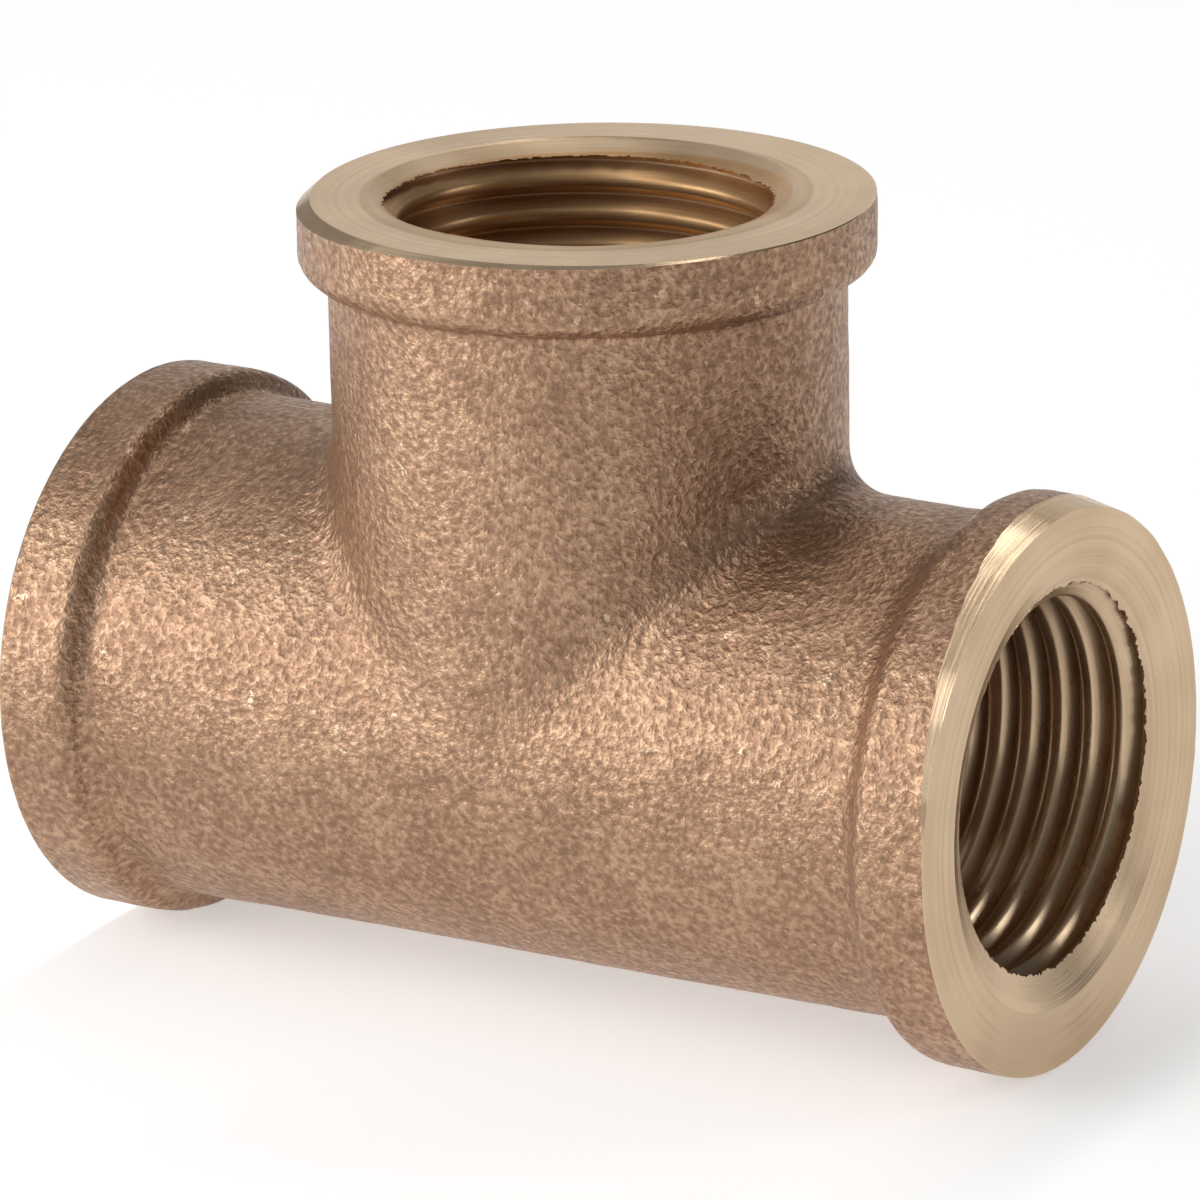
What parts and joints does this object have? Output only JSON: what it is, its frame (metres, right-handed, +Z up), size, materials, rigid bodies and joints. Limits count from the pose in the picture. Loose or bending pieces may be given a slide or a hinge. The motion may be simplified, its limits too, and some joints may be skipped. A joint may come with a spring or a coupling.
{
  "type": "threaded pipe tee fitting",
  "caption": "Cast bronze pipe tee fitting with a straight run and a right-angle branch; each banded mouth has a machined face, a countersink and an internal half-inch pipe thread.",
  "frame": {"origin": "on the surface the tee stands on, directly below the point where the run axis and the branch axis cross (the run axis is 14.7 mm above it)", "axes": "+X along the run, +Z up along the branch axis towards the branch mouth, +Y completes the right-handed frame"},
  "size_m": [0.0548, 0.0294, 0.0421],
  "materials": {
    "cast_bronze": "rough"
  },
  "bodies": {
    "root": {"tee_body": "cast_bronze"}
  },
  "joints": []
}
